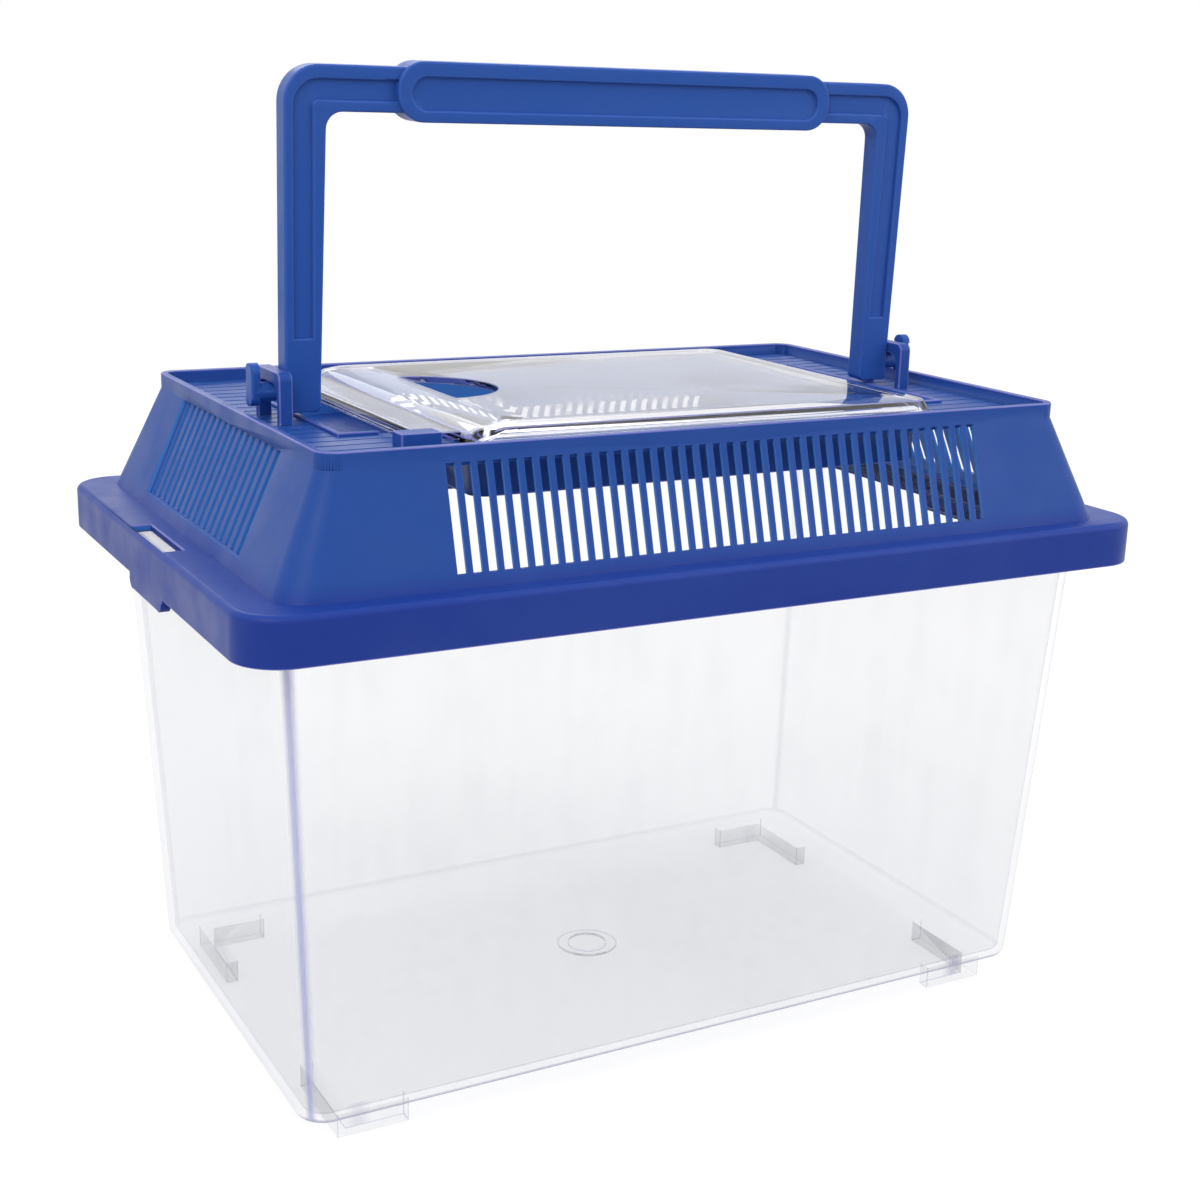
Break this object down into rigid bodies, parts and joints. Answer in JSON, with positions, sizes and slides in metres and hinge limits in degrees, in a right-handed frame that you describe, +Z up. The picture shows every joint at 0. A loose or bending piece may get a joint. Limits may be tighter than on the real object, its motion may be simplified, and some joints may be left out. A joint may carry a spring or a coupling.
{
  "type": "plastic pet keeper",
  "caption": "Clear tapered plastic tank with a slotted push-fit lid, a clear hinged hatch with a half-round feeding hole, and a fold-down carrying handle.",
  "frame": {"origin": "on the table, under the middle of the tank", "axes": "+X along the length towards the hatch's free edge, -Y to the front, +Z up"},
  "size_m": [0.3, 0.1896, 0.3015],
  "materials": {
    "clear_tank": "clear moulded polystyrene, polished",
    "blue_lid": "satin moulded polypropylene",
    "clear_hatch": "clear moulded polystyrene, polished",
    "blue_handle": "satin moulded polypropylene"
  },
  "bodies": {
    "tank": {"tank": "clear_tank"},
    "lid": {"lid": "blue_lid"},
    "hatch": {"hatch": "clear_hatch"},
    "handle": {"handle": "blue_handle"}
  },
  "joints": [
    {"name": "lid_lift", "type": "slide", "parent": "tank", "child": "lid", "axis": [0, 0, 1], "range_m": [0, 0.06]},
    {"name": "hatch_hinge", "type": "hinge", "parent": "lid", "child": "hatch", "pos_m": [-0.088, 0, 0.2013], "axis": [0, -1, 0], "range_deg": [0, 26]},
    {"name": "handle_swing", "type": "hinge", "parent": "lid", "child": "handle", "pos_m": [0, -0.0035, 0.2074], "axis": [1, 0, 0], "range_deg": [-91.3, 87]}
  ]
}
